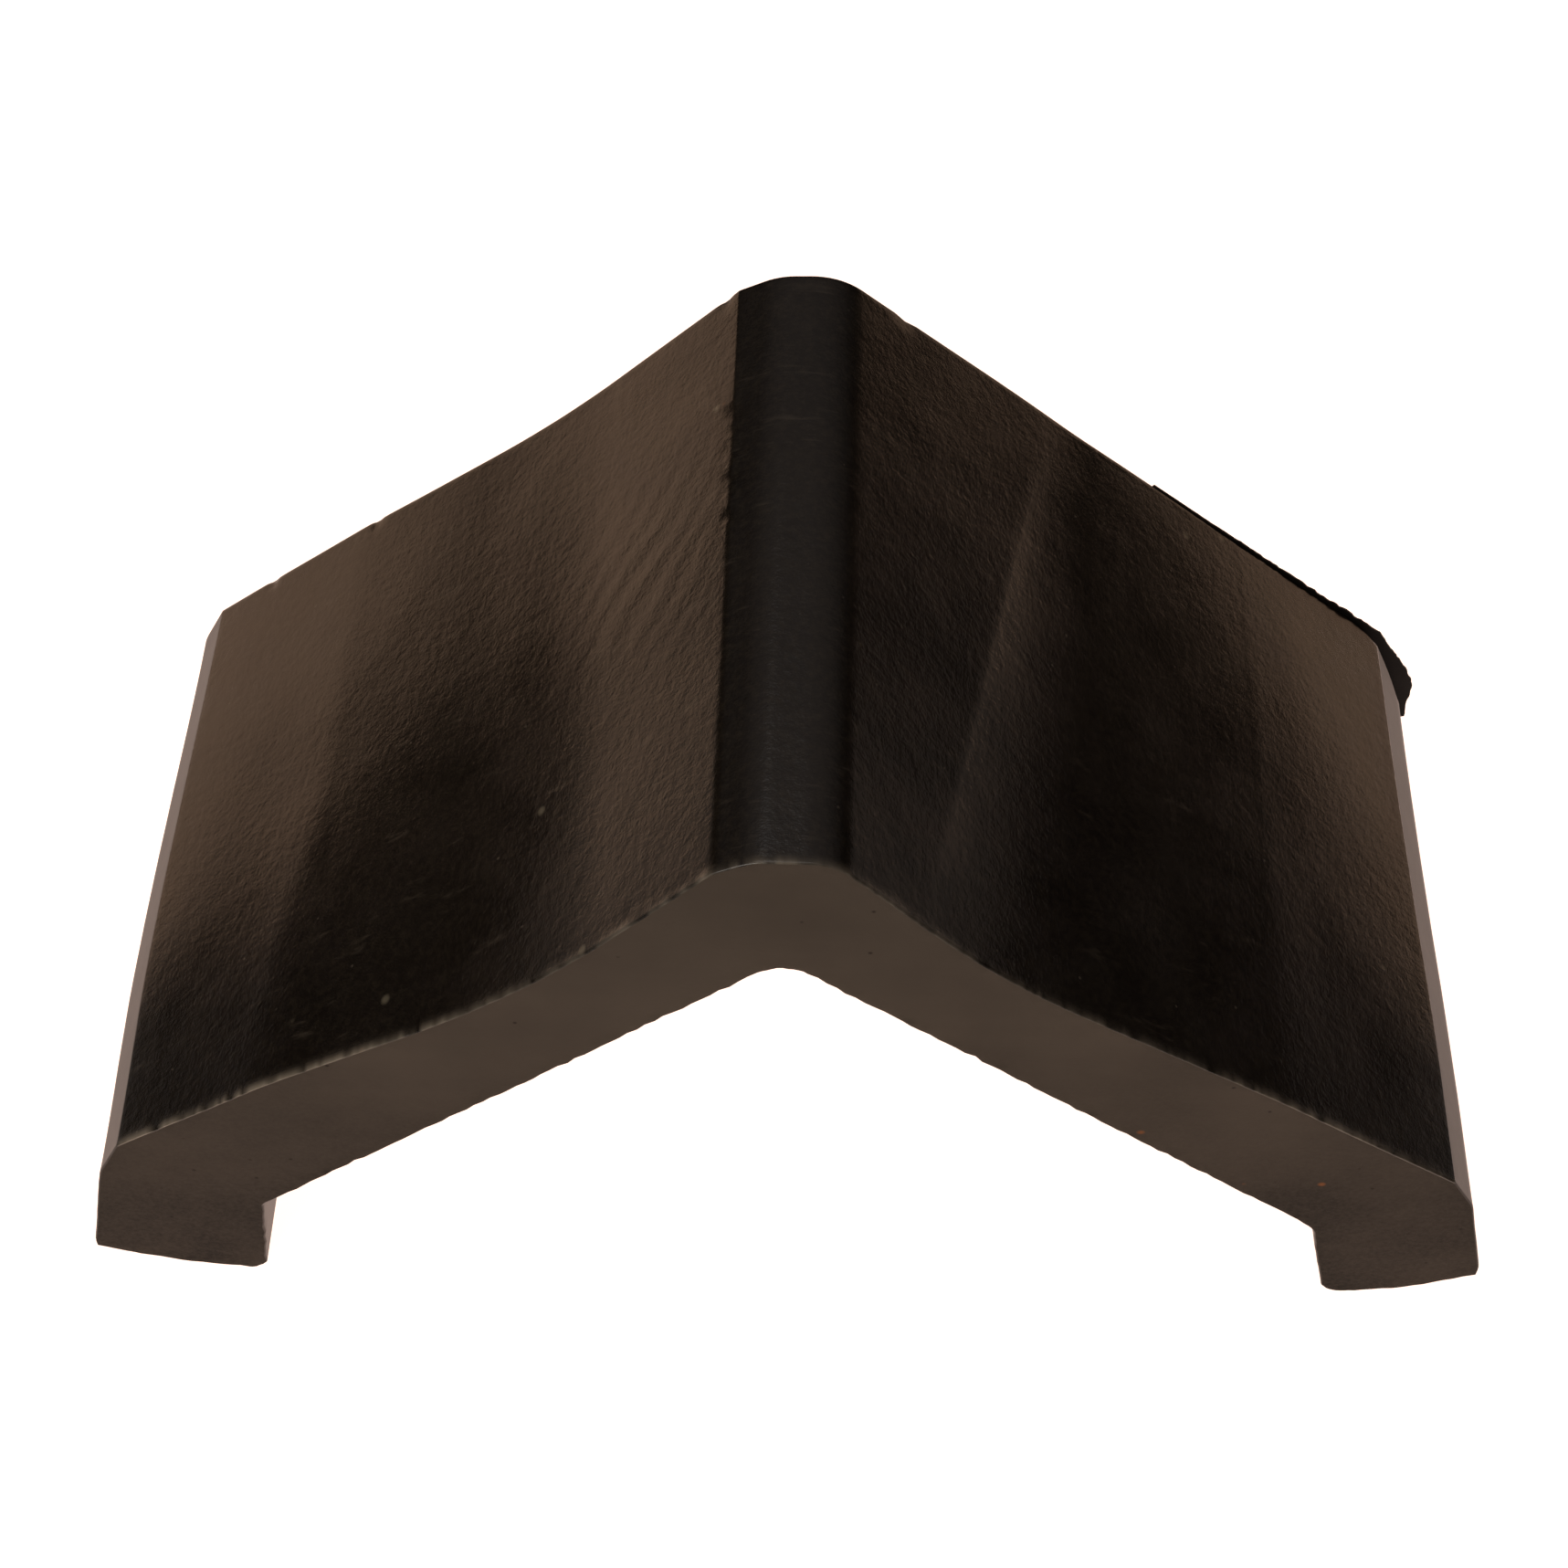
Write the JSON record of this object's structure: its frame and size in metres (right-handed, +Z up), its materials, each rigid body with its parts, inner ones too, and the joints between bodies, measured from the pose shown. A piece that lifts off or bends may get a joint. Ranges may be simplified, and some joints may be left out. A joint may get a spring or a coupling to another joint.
{
  "type": "rubber edge cap",
  "caption": "Moulded rubber chevron cap with a flat-topped ridge and thick feet, shaped to sit astride a corner.",
  "frame": {"origin": "centre of the footprint, on the plane that the toes of both feet touch", "axes": "+X from the left foot to the right foot, +Y along the ridge from the front cut end to the back cut end, +Z up to the crown"},
  "size_m": [0.0998, 0.05, 0.0538],
  "materials": {
    "black_rubber": "satin moulded skin on the outside, duller on the two cut ends"
  },
  "bodies": {
    "root": {"cap_body": "black_rubber"}
  },
  "joints": []
}
